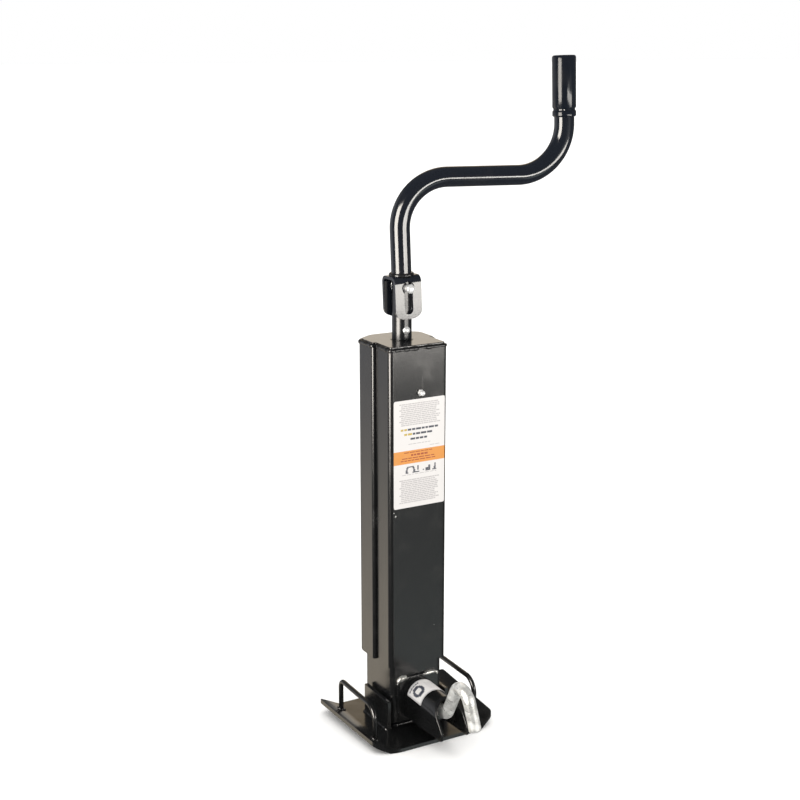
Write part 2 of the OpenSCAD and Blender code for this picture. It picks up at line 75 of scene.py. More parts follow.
SHELL_CORNER = 6 * MM  # outside radius of the front shell's corners
CUT_Y, CUT_X = 15 * MM, 24 * MM  # where the rear corners' cuts start, from the back and from the middle
CRANK_R = 12.7 * MM
CRANK_BEND = 61 * MM
ARM_Z = 715.5 * MM
ARM_DIP = math.radians(2.5)
THROW = 222.5 * MM
TURN = math.radians(11.5)  # of the arm towards the front
LEAN = math.radians(2.3)  # of the whole crank on its loose pin
BRACKET_TOP = 600 * MM
GRIP_LOW = 782.5  # these three in mm
GRIP_LENGTH = 75
GRIP_R = 15
PIN_R = 8 * MM
HANDLE_LEAN = math.radians(6)
ELBOW, CROOK, HANDLE_END = (-117.7, 0), (-170, 81), (-187.7, 8.6)  # y and height above the pin, mm
HANDLE_BEND = 17 * MM
LOOP_R = 3.2 * MM
LOOP_BENDS = (20 * MM, 9 * MM)
FOOT_T = 5 * MM
FOOT_FLAT = 68 * MM
FLANGE_SLOPE = math.radians(27)
SHARP = math.radians(28)  # an edge of the CAD that turns more than this gets rounded

lean_turn = Matrix.Rotation(-LEAN, 4, "Y")
crank_place = Matrix.Translation(fold_point) @ lean_turn @ Matrix.Translation(-fold_point)
arm_place = crank_place @ Matrix.Rotation(-TURN, 4, "Z")
grip_place = arm_place @ Matrix.Translation((THROW, 0, 0))


SIDES = ((-1, "left"), (1, "right"))


# ---- mesh tools ----


def add_object(name, mesh, materials, body):
    piece = bpy.data.objects.new(name, mesh)
    bpy.context.scene.collection.objects.link(piece)
    for material in materials if isinstance(materials, list) else [materials]:
        mesh.materials.append(material)
    if body:
        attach(piece, body)
    return piece


def from_bmesh(name, bm, materials, body, smooth=35):
    """A piece made of a bmesh, shaded smooth except at edges sharper than smooth degrees."""
    bmesh.ops.recalc_face_normals(bm, faces=bm.faces)
    mesh = bpy.data.meshes.new(name)
    bm.to_mesh(mesh)
    bm.free()
    mesh.shade_smooth()
    mesh.set_sharp_from_angle(angle=math.radians(smooth))
    return add_object(name, mesh, materials, body)


def even_normals(piece):
    """Large flat faces keep flat shading beside their rounded edges."""
    weighted = piece.modifiers.new("even", "WEIGHTED_NORMAL")
    weighted.keep_sharp = True
    weighted.weight = 60
    return piece


def softened(node, material, body, width, segments=3, *, slot):
    """A copy of a CAD node with rounded edges. The faces of the rounding carry the attribute worn."""
    bm = bmesh.new()
    bm.from_mesh(frame["nodes"][node].data)
    bmesh.ops.remove_doubles(bm, verts=bm.verts, dist=2e-6)
    bmesh.ops.dissolve_limit(bm, angle_limit=math.radians(0.6), verts=bm.verts, edges=bm.edges)
    worn = bm.faces.layers.float.new("worn")
    sharp = [e for e in bm.edges if len(e.link_faces) == 2 and e.calc_face_angle(0) > SHARP]
    made = bmesh.ops.bevel(
        bm, geom=sharp, offset=width * MM, segments=segments, profile=0.5,
        affect="EDGES", clamp_overlap=True,
    )
    for face in made["faces"]:
        face[worn] = 1.0
    piece = from_bmesh(node + "_skin", bm, material, body)
    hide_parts(node)
    return even_normals(piece)


def rounded_path(corners, radii, step=2 * MM, straight=8 * MM):
    """Points along a line through corners, with an arc of the given radius at each inner corner."""
    points = [Vector(corners[0])]

    def run_to(target):
        start = points[-1]
        count = max(1, round((target - start).length / straight))
        for i in range(1, count + 1):
            points.append(start.lerp(target, i / count))

    for before, corner, after, radius in zip(corners, corners[1:], corners[2:], radii):
        a, b, c = Vector(before), Vector(corner), Vector(after)
        into, out = (a - b).normalized(), (c - b).normalized()
        half = into.angle(out) / 2
        reach = radius / math.tan(half)
        centre = b + (into + out).normalized() * (radius / math.sin(half))
        first, last = b + into * reach, b + out * reach
        run_to(first)
        turn = math.pi - 2 * half
        axis = (first - centre).cross(last - centre).normalized()
        count = max(4, round(radius * turn / step))
        for i in range(1, count + 1):
            points.append(centre + Matrix.Rotation(turn * i / count, 3, axis) @ (first - centre))
    run_to(Vector(corners[-1]))
    return points


def path_frames(points, closed=False):
    """For each point its tangent and two directions across it, carried along the path without twist."""
    count = len(points)
    frames = []
    side = None
    for i, p in enumerate(points):
        a = points[(i - 1) % count] if closed or i else points[0]
        b = points[(i + 1) % count] if closed or i < count - 1 else points[-1]
        tangent = (b - a).normalized()
        if side is None:
            guess = Vector((0, 0, 1)) if abs(tangent.z) < 0.9 else Vector((1, 0, 0))
            side = (guess - tangent * guess.dot(tangent)).normalized()
        else:
            side = (side - tangent * side.dot(tangent)).normalized()
        frames.append((p, tangent, side, tangent.cross(side)))
    return frames


def swept(name, points, radius, material, body, sides, closed=False, smooth=50, ends=0.0):
    """A round rod along points. radius is a number or a function of the distance from the start.
    ends rounds the two ends by that much."""
    frames = path_frames(points, closed)
    bm = bmesh.new()
    rings = []
    gone = 0.0
    stations = []
    for i, (p, tangent, side, other) in enumerate(frames):
        gone += (p - frames[i - 1][0]).length if i else 0.0
        stations.append((p, side, other, gone, 0.0))
    if ends and not closed:
        cuts = 4
        angles = [math.pi / 2 * k / cuts for k in range(cuts)]
        arc = [(ends * (1 - math.cos(a)), ends * (1 - math.sin(a))) for a in angles]
        first, last = frames[0], frames[-1]
        head = [(first[0] + first[1] * x, first[2], first[3], 0.0, y) for x, y in arc]
        tail = [(last[0] - last[1] * x, last[2], last[3], gone, y) for x, y in reversed(arc)]
        inner = [s for s in stations[1:-1] if ends < s[3] < gone - ends]
        near = (first[0] + first[1] * ends, first[2], first[3], ends, 0.0)
        far = (last[0] - last[1] * ends, last[2], last[3], gone - ends, 0.0)
        stations = head + [near] + inner + [far] + tail
    for p, side, other, distance, inset in stations:
        ring = []
        for k in range(sides):
            angle = 2 * math.pi * k / sides
            r = radius(distance) if callable(radius) else radius
            ring.append(bm.verts.new(p + (side * math.cos(angle) + other * math.sin(angle)) * (r - inset)))
        rings.append(ring)
    pairs = list(zip(rings, rings[1:])) + ([(rings[-1], rings[0])] if closed else [])
    for a, b in pairs:
        for k in range(sides):
            bm.faces.new((a[k], a[(k + 1) % sides], b[(k + 1) % sides], b[k]))
    if not closed:
        bm.faces.new(rings[0])
        bm.faces.new(rings[-1])
    return from_bmesh(name, bm, material, body, smooth)


def lathed(name, profile, place, material, body, sides=64, smooth=32, ring=False):
    """A solid of revolution. profile holds (radius, height) pairs in mm, and place maps its axis Z
    into the frame. A ring's profile closes on itself instead of ending on the axis."""
    bm = bmesh.new()

    def vertex(radius, angle, height):
        spot = Vector((radius * MM * math.cos(angle), radius * MM * math.sin(angle), height * MM))
        return bm.verts.new(place @ spot)

    rings = []
    for radius, height in profile:
        count = 1 if radius < 1e-6 else sides
        rings.append([vertex(radius, 2 * math.pi * k / sides, height) for k in range(count)])
    for a, b in zip(rings, rings[1:] + (rings[:1] if ring else [])):
        for k in range(sides):
            quad = [a[k % len(a)], a[(k + 1) % len(a)], b[(k + 1) % len(b)], b[k % len(b)]]
            bm.faces.new([v for i, v in enumerate(quad) if v not in quad[:i]])
    return from_bmesh(name, bm, material, body, smooth)


def along(direction, origin):
    """A matrix that takes Z to direction and the origin to a point."""
    return Matrix.Translation(origin) @ Vector(direction).to_track_quat("Z", "Y").to_matrix().to_4x4()


def both_ends(profile):
    """A profile in the lower half, repeated upside down above the middle."""
    return profile + [(r, -h) for r, h in reversed(profile)]


def round_line(x, y, radius, count, height):
    """Points on a circle round (x, y), each as high as height says for its x."""
    points = []
    for i in range(count):
        angle = 2 * math.pi * i / count
        px = x + radius * math.cos(angle)
        points.append(Vector((px, y + radius * math.sin(angle), height(px))))
    return points


# ---- node tools ----


class Nodes:
    """Short calls for building one material's nodes."""

    def __init__(self, name):
        self.material = bpy.data.materials.new(name)
        self.material.use_nodes = True
        self.tree = self.material.node_tree
        self.tree.nodes.clear()
        self.shader = self.new("ShaderNodeBsdfPrincipled")
        self.link(self.shader.outputs[0], self.new("ShaderNodeOutputMaterial").inputs[0])
        self.place = self.new("ShaderNodeTexCoord").outputs["Object"]

    def new(self, kind, **values):
        made = self.tree.nodes.new(kind)
        for key, value in values.items():
            setattr(made, key, value)
        return made

    def link(self, output, target):
        self.tree.links.new(output, target)

    def set(self, **values):
        for key, value in values.items():
            self.shader.inputs[key.replace("_", " ")].default_value = value

    def stretched(self, scale):
        mapping = self.new("ShaderNodeMapping")
        mapping.inputs["Scale"].default_value = scale
        self.link(self.place, mapping.inputs["Vector"])
        return mapping.outputs[0]

    def noise(self, scale, detail=2.0, roughness=0.5, vector=None):
        made = self.new("ShaderNodeTexNoise")
        made.inputs["Scale"].default_value = scale
        made.inputs["Detail"].default_value = detail
        made.inputs["Roughness"].default_value = roughness
        self.link(vector or self.place, made.inputs["Vector"])
        return made.outputs["Fac"]

    def cells(self, scale, output="Distance"):
        made = self.new("ShaderNodeTexVoronoi")
        made.inputs["Scale"].default_value = scale
        self.link(self.place, made.inputs["Vector"])
        return made.outputs[output]

    def span(self, value, low, high, to_low=0.0, to_high=1.0):
        made = self.new("ShaderNodeMapRange", interpolation_type="SMOOTHSTEP")
        self.link(value, made.inputs["Value"])
        for key, number in zip(("From Min", "From Max", "To Min", "To Max"), (low, high, to_low, to_high)):
            made.inputs[key].default_value = number
        return made.outputs["Result"]

    def math(self, operation, a, b):
        made = self.new("ShaderNodeMath", operation=operation)
        for socket, value in zip(made.inputs, (a, b)):
            if isinstance(value, (int, float)):
                socket.default_value = value
            else:
                self.link(value, socket)
        return made.outputs[0]

    def mix(self, factor, a, b):
        made = self.new("ShaderNodeMix", data_type="RGBA")
        self.link(factor, made.inputs["Factor"])
        for socket, value in zip((made.inputs[6], made.inputs[7]), (a, b)):
            if isinstance(value, tuple):
                socket.default_value = (*value, 1.0)
            else:
                self.link(value, socket)
        return made.outputs[2]

    def bump(self, height, strength, distance, under=None):
        made = self.new("ShaderNodeBump")
        made.inputs["Strength"].default_value = strength
        made.inputs["Distance"].default_value = distance
        self.link(height, made.inputs["Height"])
        if under:
            self.link(under, made.inputs["Normal"])
        return made.outputs[0]


def gloss_paint(name, colour, dust, roughness=0.2, wave=1.0, gloss=0.62):
    """Gloss paint on steel: orange peel, slow waves, dust, fine streaks, worn edges, a few chips."""
    n = Nodes(name)
    edge = n.new("ShaderNodeAttribute", attribute_name="worn").outputs["Fac"]
    patches = n.span(n.noise(26, 5, 0.6), 0.5, 0.78)
    streaks = n.span(n.noise(1.0, 3, 0.6, n.stretched((420, 420, 22))), 0.62, 0.8)
    speck_here = n.span(n.cells(70), 0.05, 0.035)
    chosen = n.span(n.cells(70, "Color"), 0.905, 0.915)
    chips = n.math("MULTIPLY", speck_here, chosen)
    wear = n.math("MULTIPLY", edge, n.span(n.noise(240, 3, 0.7), 0.67, 0.74))
    bare = n.math("MAXIMUM", chips, wear)
    dusty = n.mix(n.math("MULTIPLY", patches, 0.35), colour, dust)
    scored = n.mix(n.math("MULTIPLY", streaks, 0.25), dusty, dust)
    n.link(n.mix(bare, scored, (0.28, 0.27, 0.25)), n.shader.inputs["Base Color"])
    dull = n.math("ADD", n.math("MULTIPLY", patches, 0.1), n.math("MULTIPLY", streaks, 0.07))
    dull = n.math("ADD", dull, n.math("MULTIPLY", bare, 0.25))
    n.link(n.math("ADD", dull, roughness), n.shader.inputs["Roughness"])
    slow = n.bump(n.noise(1.0, 1, 0.5, n.stretched((38, 38, 12))), 0.25 * wave, 0.0009)
    peel = n.bump(n.noise(620, 2, 0.5), 0.12, 0.00025, slow)
    n.link(n.bump(bare, 0.4, 0.00008, peel), n.shader.inputs["Normal"])
    n.set(Specular_IOR_Level=gloss, IOR=1.5)
    return n.material


def zinc_steel(name, colour, white, roughness, metallic, streak=(300, 60, 300)):
    """Galvanised or zinc plated steel: fine spangle, drawn streaks and white bloom."""
    n = Nodes(name)
    spangle = n.span(n.cells(420, "Color"), 0.1, 0.9)
    bloom = n.span(n.noise(95, 4, 0.65), 0.42, 0.68)
    drawn = n.span(n.noise(1.0, 3, 0.6, n.stretched(streak)), 0.35, 0.7)
    pits = n.span(n.noise(700, 2, 0.6), 0.66, 0.76)
    grey = n.mix(n.math("MULTIPLY", spangle, 0.25), colour, tuple(c * 0.7 for c in colour))
    drawn_grey = n.mix(n.math("MULTIPLY", drawn, 0.45), grey, tuple(c * 0.45 for c in colour))
    pale = n.mix(n.math("MULTIPLY", bloom, 0.6), drawn_grey, white)
    n.link(n.mix(n.math("MULTIPLY", pits, 0.5), pale, (0.12, 0.11, 0.1)), n.shader.inputs["Base Color"])
    rough = n.math("ADD", n.math("MULTIPLY", bloom, 0.16), n.math("MULTIPLY", drawn, 0.08))
    n.link(n.math("ADD", rough, roughness), n.shader.inputs["Roughness"])
    n.link(n.math("SUBTRACT", metallic, n.math("MULTIPLY", bloom, 0.3)), n.shader.inputs["Metallic"])
    lines = n.bump(drawn, 0.3, 0.0003)
    n.link(n.bump(pits, 0.35, 0.0002, lines), n.shader.inputs["Normal"])
    return n.material


def oiled_metal(name, colour, stain):
    """Bare machined metal with turning marks and an oil film."""
    n = Nodes(name)
    film = n.span(n.noise(60, 4, 0.6), 0.4, 0.7)
    turned = n.span(n.noise(1.0, 1, 0.5, n.stretched((30, 30, 1800))), 0.3, 0.7)
    base = n.mix(n.math("MULTIPLY", turned, 0.25), colour, tuple(c * 0.6 for c in colour))
    n.link(n.mix(n.math("MULTIPLY", film, 0.6), base, stain), n.shader.inputs["Base Color"])
    n.link(n.span(film, 0.0, 1.0, 0.32, 0.22), n.shader.inputs["Roughness"])
    n.link(n.bump(turned, 0.2, 0.00015), n.shader.inputs["Normal"])
    n.set(Metallic=1.0)
    return n.material


def printed(name, colour):
    """One colour of a printed film, with faint unevenness and rub marks."""
    n = Nodes(name)
    rubbed = n.span(n.noise(130, 5, 0.65), 0.5, 0.75)
    pale = tuple(min(1.0, c * 0.9 + 0.05) for c in colour)
    n.link(n.mix(n.math("MULTIPLY", rubbed, 0.4), colour, pale), n.shader.inputs["Base Color"])
    n.link(n.span(rubbed, 0.0, 1.0, 0.32, 0.47), n.shader.inputs["Roughness"])
    n.link(n.bump(n.noise(900, 2, 0.5), 0.08, 0.0001), n.shader.inputs["Normal"])
    return n.material


def floor_paint():
    n = Nodes("pale_floor")
    tone = n.noise(3, 2, 0.5)
    n.link(n.mix(tone, (0.93, 0.925, 0.915), (0.95, 0.945, 0.935)), n.shader.inputs["Base Color"])
    n.set(Roughness=0.9, Specular_IOR_Level=0.1)
    return n.material


EVEN = (200, 200, 200)  # streaks as long as wide
black = gloss_paint("black_paint", (0.0055, 0.0058, 0.006), (0.03, 0.028, 0.025))
crank_black = gloss_paint("crank_paint", (0.0075, 0.010, 0.0155), (0.02, 0.021, 0.024), 0.11, 0.5)
weld_black = gloss_paint("weld_paint", (0.006, 0.0063, 0.0068), (0.03, 0.03, 0.03), 0.16, 0.4)
grip_black = gloss_paint("grip_paint", (0.0075, 0.010, 0.0155), (0.02, 0.021, 0.024), 0.13, 0.5, 0.32)
shaft_black = gloss_paint("shaft_paint", (0.0075, 0.009, 0.012), (0.03, 0.03, 0.03), 0.24, 0.5)
# pale metal for weld ends, tacks and nicks: painted glints in place of highlights on the black welds and chips
glint_metal = zinc_steel("painted_glint_metal", (0.5, 0.5, 0.48), (0.75, 0.74, 0.7), 0.26, 0.9, EVEN)
galvanised = zinc_steel("galvanised", (0.78, 0.78, 0.75), (0.93, 0.93, 0.9), 0.26, 0.6)
bright_zinc = zinc_steel("bright_zinc", (0.88, 0.88, 0.87), (0.97, 0.97, 0.96), 0.3, 0.45, EVEN)
bare_steel = oiled_metal("bare_steel", (0.5, 0.51, 0.52), (0.16, 0.13, 0.09))
bronze = oiled_metal("bronze", (0.6, 0.42, 0.2), (0.25, 0.16, 0.07))
paper = printed("label_paper", (0.72, 0.695, 0.675))
grey_ink = printed("label_grey_ink", (0.47, 0.445, 0.44))
dark_ink = printed("label_dark_ink", (0.05, 0.055, 0.075))
orange = printed("label_orange", (0.7, 0.275, 0.045))
brown_ink = printed("label_brown_ink", (0.36, 0.06, 0.012))
gold_ink = printed("label_gold_ink", (0.5, 0.36, 0.06))

MATERIAL_OF_SLOT = {
    "black_paint": black,
    "crank_paint": crank_black,
    "galvanised": galvanised,
    "bright_zinc": bright_zinc,
    "bare_steel": bare_steel,
    "bronze": bronze,
    "label": paper,
}

for part in frame["record"]["subparts"]:
    cad = frame["nodes"][part["node"]]
    cad.data.materials.clear()
    cad.data.materials.append(MATERIAL_OF_SLOT[part["material_slot"]])
    cad.data.shade_smooth()
    cad.data.set_sharp_from_angle(angle=math.radians(30))


# ---- weld beads ----


def weld(name, points, radius, body, pitch, seed, closed=False, nodes=(), bright=False, uneven=0.13):
    """A bead of overlapping ripples along points, as a welder lays it, slightly uneven in width."""
    draw = random.Random(seed)
    step = pitch * MM / 6
    dense = []
    loop = points + [points[0]] if closed else points
    for a, b in zip(loop, loop[1:]):
        count = max(1, round((b - a).length / step))
        dense += [a.lerp(b, i / count) for i in range(count)]
    if not closed:
        dense.append(loop[-1])
    ripples = int(len(dense) * step / (pitch * MM)) + 3
    sizes = [1 + draw.uniform(-uneven, uneven) for _ in range(ripples)]

    def ripple(distance):
        place = distance / (pitch * MM)
        part = place % 1
        here, after = sizes[int(place) % len(sizes)], sizes[(int(place) + 1) % len(sizes)]
        size = here + (after - here) * part
        crest = 0.8 + 0.2 * math.sqrt(max(0.0, 1 - (1.6 * part - 0.8) ** 2))
        end = min(1.0, 0.45 + distance / (2.2 * radius))
        return radius * size * crest * (end if not closed else 1.0)

    # bright beads take the pale metal, a painted glint on the black weld
    metal = glint_metal if bright else weld_black
    piece = swept(name, dense, ripple, metal, body, sides=14, closed=closed, smooth=70)
    if nodes:
        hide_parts(*nodes)
    return piece


# ---- housing ----


def eased(corners, reach):
    """A closed line through corners, each replaced by a curve that starts reach before it."""
    steps = 5
    line = []
    for before, corner, after in zip(corners[-1:] + corners[:-1], corners, corners[1:] + corners[:1]):
        p = corner + (before - corner).normalized() * reach
        q = corner + (after - corner).normalized() * reach
        for i in range(steps + 1):
            t = i / steps
            line.append(p * (1 - t) ** 2 + corner * (2 * t * (1 - t)) + q * t * t)
    return line


def housing_line(z, out):
    """The line round the top of both shells, drawn outwards by out."""
    front, half = shell_low.y - out, shell_high.x + out
    side, back, step_y = rear_high.x + out, rear_high.y + out, rear_low.y - out
    right = [(half, front), (half, step_y), (side, step_y), (side, back - CUT_Y), (CUT_X, back)]
    corners = [Vector((x, y, z)) for x, y in right + [(-x, y) for x, y in reversed(right)]]
    return eased(corners, 2 * MM)


def housing():
    softened("front_shell", black, "housing", 0.7, slot="black_paint")
    softened("rear_shell", black, "housing", 2.1, 4, slot="black_paint")
    softened("top_plate", black, "housing", 0.8, slot="black_paint")
    line = housing_line(shell_high.z + 0.2 * MM, -2.0 * MM)
    weld("top_weld_bead", line, 2.9 * MM, "housing", 4.4, 4, closed=True, nodes=("top_weld",), uneven=0.3)
    # the rear shell's front edges, rounded as far as the gap beside the ram allows
    bulge = (rear_high.x - ram_high.x) / 2 - 0.35 * MM
    for side, label in SIDES:
        x, y = side * (rear_high.x - bulge), rear_low.y + bulge - 1.5 * MM
        ends = [Vector((x, y, z)) for z in (rear_low.z + 1 * MM, shell_high.z - 1 * MM)]
        edge = swept("rear_edge_" + label, ends, bulge, black, "housing", 48)


def grease_fitting():
    """Hexagon base, neck and ball nipple with its ball check."""
    x, z = (fitting_low.x + fitting_high.x) / 2, (fitting_low.z + fitting_high.z) / 2
    place = along((0, -1, 0), (x, shell_low.y, z))
    neck = [(0, -3), (3, -3), (3, 2.8), (2.3, 3.2), (2.3, 4.2)]
    ball = [(2.9, 4.8), (3.25, 5.8), (3.1, 6.8), (2.4, 7.7), (1.5, 8.1), (1.2, 7.8), (0.9, 7.9), (0, 8.1)]
    nipple = lathed("grease_nipple", neck + ball, place, bright_zinc, "housing", 32)
    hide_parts("grease_fitting")
    base = [(0, 0), (4.0, 0), (4.3, 0.4), (4.3, 1.9), (3.7, 2.4), (0, 2.4)]
    hexagon = lathed("grease_hexagon", base, place, bright_zinc, "housing", 6, 20)


# ---- printed films ----

BARE, GREY, DARK, ORANGE, BROWN, GOLD = range(6)  # the inks' places in a film's list of materials


def greek(draw, left, right, low_word=2.2, high_word=7.0, gap=0.9):
    """Word-long stretches between left and right, in mm, that stand for a line of print."""
    words = []
    x = left
    while x < right - low_word:
        end = min(right, x + draw.uniform(low_word, high_word))
        words.append((x, end))
        x = end + gap
    return words


def film(name, width, height, rows, shape, radius, materials, body, slot, thick, bends):
    """A film cut into strips of print. rows holds (top, bottom, [(left, right, ink)]) in mm from the
    upper left corner, shape(u, v, lift) gives the point for a place on the film, radius is that of the
    film's corners, and bends are further cuts in u."""
    breaks = [0.0]
    for top, bottom, _ in rows:
        breaks += [top, bottom]
    breaks.append(height)
    steps = [radius * (1 - math.cos(math.radians(a))) for a in (0, 22, 38, 52, 66, 78, 90)]
    edges = sorted({round(v, 4) for v in breaks + steps + [height - s for s in steps]})

    def inset(v):
        near = min(v, height - v)
        return 0.0 if near >= radius else radius - math.sqrt(max(0.0, radius**2 - (radius - near) ** 2))

    bm = bmesh.new()
    known = {}

    def vertex(u, v):
        key = (round(u, 3), round(v, 3))
        if key not in known:
            known[key] = bm.verts.new(shape(u, v, thick))
        return known[key]

    for top, bottom in zip(edges, edges[1:]):
        middle = (top + bottom) / 2
        inks = [ink for a, b, inked in rows if a <= middle <= b for ink in inked]
        cuts = sorted({0.0, width, *(c for left, right, _ in inks for c in (left, right)), *bends})
        for left, right in zip(cuts, cuts[1:]):
            corners = []
            for u, v in ((left, top), (right, top), (right, bottom), (left, bottom)):
                corners.append(vertex(min(max(u, inset(v)), width - inset(v)), v))
            if len(set(corners)) < 3:
                continue
            ordered = [c for i, c in enumerate(corners) if c not in corners[:i]]
            face = bm.faces.new(ordered)
            centre = (left + right) / 2
            face.material_index = next((ink for a, b, ink in inks if a <= centre <= b), BARE)
    mesh = bpy.data.meshes.new(name)
    bm.to_mesh(mesh)
    bm.free()
    piece = add_object(name, mesh, materials, body)
    rim = piece.modifiers.new("thickness", "SOLIDIFY")
    rim.thickness = thick * MM
    rim.offset = -1
    return piece


def main_label():
    """Rows of greeked print, three bold lines, an orange band and a row of plain pictograms."""
    width, height = (label_high.x - label_low.x) / MM, (label_high.z - label_low.z) / MM
    draw = random.Random(7)
    middle = width / 2
    pitch = 2.45
    rows = []

    def line(top, thick, left, right, ink, **words):
        rows.append((top, top + thick, [(a, b, ink) for a, b in greek(draw, left, right, **words)]))

    for i in range(12):
        left = 8 if i % 3 == 0 else 10.5
        line(4.5 + i * pitch, 1.5, left, width - draw.uniform(6, 13), GREY, gap=0.6)
    for i, half in enumerate((27, 22, 13)):
        top = 37.0 + i * 6.2
        words = greek(draw, middle - half, middle + half, 3.5, 8, 1.1)
        gold = 2 if i < 2 else 0
        inks = [GOLD if k < gold else DARK for k in range(len(words))]
        rows.append((top, top + 2.6, [(a, b, ink) for (a, b), ink in zip(words, inks)]))
    line(57.0, 0.9, middle - 16, middle + 16, GREY)
    line(61.5, 0.8, width - 22, width - 5, GREY)

    top, bottom = 0.466 * height, 0.588 * height
    # stretches of the band from its top, as their height and half the width of their print
    stretches = [(2.1, 0), (1.1, 22), (2.0, 0), (2.3, 12), (2.0, 0), (1.2, 25), (1.8, 0), (1.2, 27)]
    stretches.append((bottom - top - sum(thick for thick, half in stretches), 0))
    for thick, half in stretches:
        words = greek(draw, middle - half, middle + half, 3, 8, 1.1) if half else []
        rows.append((top, top + thick, [(a, b, BROWN) for a, b in words] + [(0.0, width, ORANGE)]))
        top += thick

    pictures = [
        [(19, 29), (34, 36), (59, 61)],
        [(18, 21), (27, 30), (34, 36), (50, 53), (59, 61)],
        [(18, 20), (28, 30), (34, 36), (50, 53), (59, 61)],
        [(17, 20), (28, 31), (34, 36), (46, 53), (58, 61)],
        [(17, 20), (28, 31), (42, 44), (46, 53), (58, 61)],
        [(17, 21), (27, 37), (46, 53), (56, 62)],
    ]
    for i, shapes in enumerate(pictures):
        top = 0.615 * height + i * 1.5
        rows.append((top, top + 1.4, [(a, b, DARK) for a, b in shapes]))
    line(0.615 * height + 10.2, 0.9, 12, 62, GREY, gap=1.4)
    for i in range(13):
        left = 8 if i % 4 == 0 else 10.5
        line(0.735 * height + i * pitch, 1.5, left, width - draw.uniform(5, 15), GREY, gap=0.6)

    flat = shell_high.x - SHELL_CORNER

    def on_front(u, v, lift):
        x = label_low.x + u * MM
        over = max(0.0, abs(x) - flat)
        angle = over / SHELL_CORNER
        r = SHELL_CORNER + lift * MM
        px = math.copysign(min(abs(x), flat) + r * math.sin(angle), x)
        return Vector((px, shell_low.y + SHELL_CORNER - r * math.cos(angle), label_high.z - v * MM))

    colours = [paper, grey_ink, dark_ink, orange, brown_ink, gold_ink]
    bends = [0.6 * k for k in range(8)]
    bends += [width - b for b in bends]
    piece = film(
        "main_label_print", width, height, rows, on_front, 2.5, colours, "housing", "label", 0.12, bends
    )
    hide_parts("main_label")


def guard_sticker():
    """White sticker round the guard with a plain ring in a frame and a few lines of greeked print."""
    radius = guard_high.x
    start, end = math.radians(170), math.radians(20)
    width = radius * (start - end) / MM
    height = (sticker_high.y - sticker_low.y) / MM
    draw = random.Random(12)
    rim, inner = 0.9, 1.5  # the frame line's two sides, from the sticker's edge
    rows = []

    def strip(top, bottom, inked):
        rows.append((top, bottom, [(rim, inner, DARK), (width - inner, width - rim, DARK), *inked]))

    rows.append((rim, inner, [(rim, width - rim, DARK)]))
    strip(inner, 3.2, [])
    strip(3.2, 5.6, [(a, b, DARK) for a, b in greek(draw, 4, 23, 2.2, 4.2, 0.8)])
    strip(5.6, 7.6, [])
    # a plain ring, as the stretches of each of its rows
    upper = [[(9, 18)], [(6.5, 20.5)], [(5, 9.5), (17.5, 22)]]
    ring = upper + [[(5, 9), (18, 22)]] + upper[::-1]
    step = 2.9
    for i, shapes in enumerate(ring):
        top = 7.6 + i * step
        inked = [(a, b, DARK) for a, b in shapes]
        strip(top, top + 1.9, inked)
        words = [(a, b, GREY) for a, b in greek(draw, 27, width - draw.uniform(4, 9), 2, 5, 0.8)]
        strip(top + 1.9, top + step, inked + words)
    strip(7.6 + len(ring) * step, height - inner, [])
    rows.append((height - inner, height - rim, [(rim, width - rim, DARK)]))

    def on_guard(u, v, lift):
        angle = start - u * MM / radius
        r = radius + lift * MM
        return Vector((r * math.cos(angle), sticker_high.y - v * MM, pin_z + r * math.sin(angle)))

    cuts = 60
    bends = [width * k / cuts for k in range(1, cuts)]
    colours = [paper, grey_ink, dark_ink]
    piece = film("guard_sticker", width, height, rows, on_guard, 1.5, colours, "ram", "label", 0.1, bends)
    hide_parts("pin_guard_label")


# ---- camera, light and floor ----


def area_light(name, place, target, size, size_y, watts, colour):
    """A softbox that shows in reflections only."""
    data = bpy.data.lights.new(name, "AREA")
    data.shape = "RECTANGLE"
    data.size, data.size_y, data.energy, data.color = size, size_y, watts, colour
    lamp = bpy.data.objects.new(name, data)
    bpy.context.scene.collection.objects.link(lamp)
    lamp.location = place
    lamp.rotation_euler = (Vector(target) - Vector(place)).to_track_quat("-Z", "Y").to_euler()
    lamp.visible_camera = False
    lamp.visible_diffuse = False


def camera_and_floor():
    """The photo's camera, and a matt white floor that stays out of reflections."""
    scene = bpy.context.scene
    scene.view_settings.view_transform = "Standard"
    lens = bpy.data.cameras.new("camera")
    lens.lens, lens.sensor_width = 62.62, 36.0
    camera = bpy.data.objects.new("camera", lens)
    scene.collection.objects.link(camera)
    camera.location = (-0.84318, -1.50646, 0.87895)
    camera.rotation_euler = (math.radians(75.67), 0, math.radians(-29.16))
    scene.camera = camera

    floor_mesh = bpy.data.meshes.new("floor")
    reach = 60.0
    corners = [(-reach, -reach, 0), (reach, -reach, 0), (reach, reach, 0), (-reach, reach, 0)]
    floor_mesh.from_pydata(corners, [], [(0, 1, 2, 3)])
    floor = add_object("floor", floor_mesh, floor_paint(), None)
    floor.visible_glossy = False


def lamps():
    """Two softboxes for the streaks in the paint, and a wide soft light from above."""
    area_light("left_softbox", (-1.27, -0.4, 0.66), (0, 0, 0.66), 0.88, 1.2, 58, (1.0, 0.94, 0.86))
    area_light("right_softbox", (0.62, -1.22, 0.4), (0, 0, 0.4), 1.1, 0.25, 11.5, (1.0, 0.96, 0.9))
    sky = bpy.data.lights.new("ceiling", "SUN")
    sky.energy, sky.angle = 0.9, math.radians(90)
    ceiling = bpy.data.objects.new("ceiling", sky)
    bpy.context.scene.collection.objects.link(ceiling)
    ceiling.visible_glossy = False


def background(tree, colour, strength):
    made = tree.nodes.new("ShaderNodeBackground")
    made.inputs["Color"].default_value = (*colour, 1)
    made.inputs["Strength"].default_value = strength
    return made


